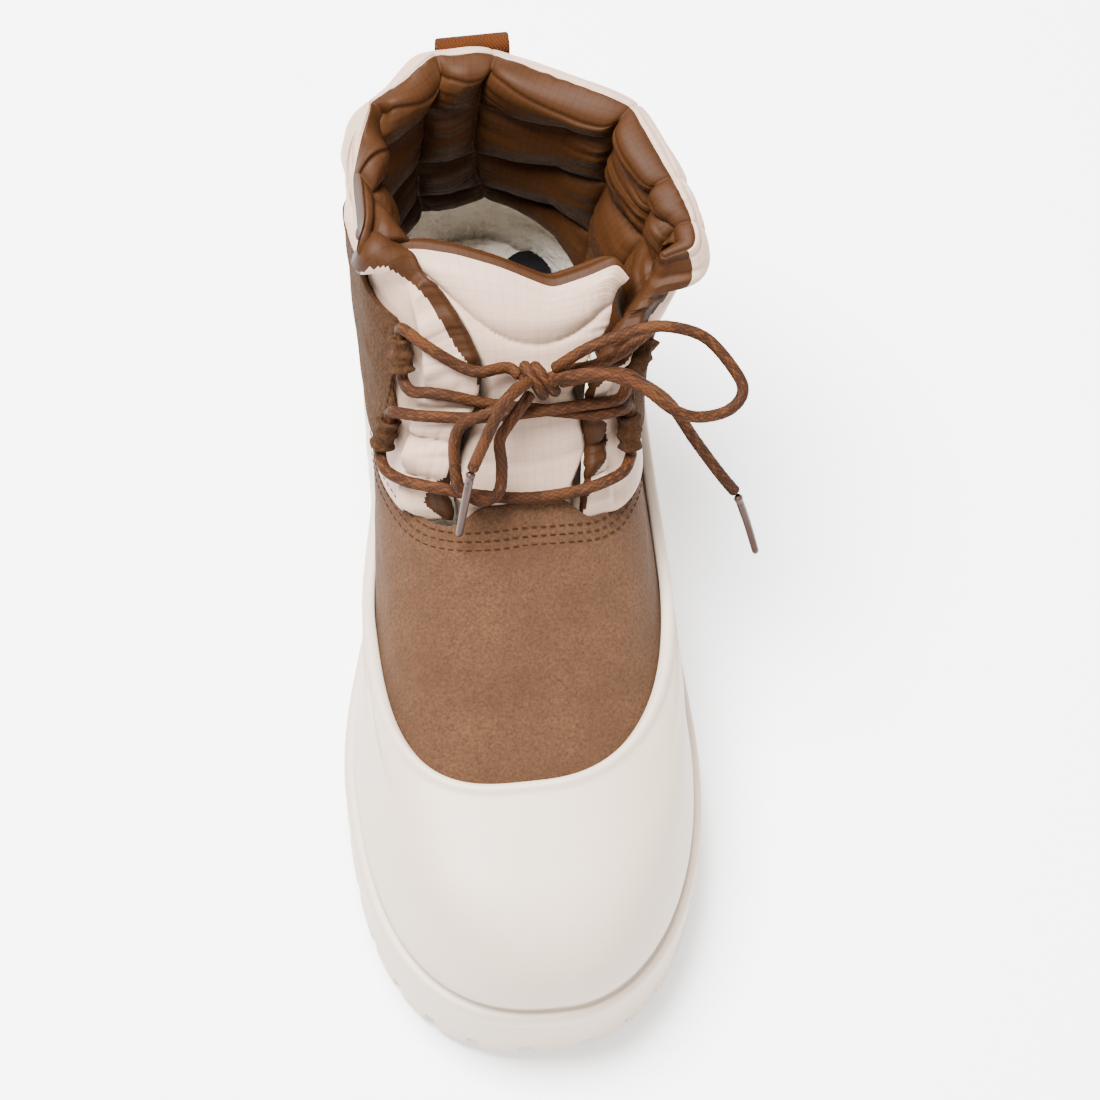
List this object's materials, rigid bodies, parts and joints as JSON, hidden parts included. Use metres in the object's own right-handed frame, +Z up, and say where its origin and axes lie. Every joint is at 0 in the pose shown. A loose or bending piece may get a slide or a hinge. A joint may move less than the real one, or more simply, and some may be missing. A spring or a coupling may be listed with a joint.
{
  "type": "sheepskin boot",
  "caption": "Left low boot: hollow suede vamp in a moulded wrap-around outsole, quilted puffer collar and tongue, laced suede wings, webbing pull tab.",
  "frame": {"origin": "middle of the boot's footprint on the floor, without the loose laces", "axes": "+Z up, the toe points to -Y and the heel to +Y, the wearer's outer side is +X"},
  "size_m": [0.1482, 0.3088, 0.1709],
  "materials": {
    "moulded_eva": "matte moulded foam",
    "suede": "napped suede",
    "puffer_nylon": "ripstop with a soft sheen",
    "fleece": "short curly pile",
    "webbing": "herringbone weave",
    "lace_cord": "round braid",
    "aglet_plastic": "clear brown plastic"
  },
  "bodies": {
    "root": {"outsole_guard": "moulded_eva", "upper": "suede", "insole": "fleece", "collar": "puffer_nylon", "tongue": "puffer_nylon", "wing_outer": "suede", "wing_inner": "suede", "pull_tab": "webbing", "lace_bar_bottom": "lace_cord", "lace_cross": "lace_cord", "lace_top_inner": "lace_cord", "lace_top_outer": "lace_cord", "lace_knot": "lace_cord", "lace_loop_outer": "lace_cord", "lace_loop_front": "lace_cord", "lace_end_outer": "lace_cord", "lace_end_front": "lace_cord", "aglet_outer": "aglet_plastic", "aglet_front": "aglet_plastic"}
  },
  "joints": []
}
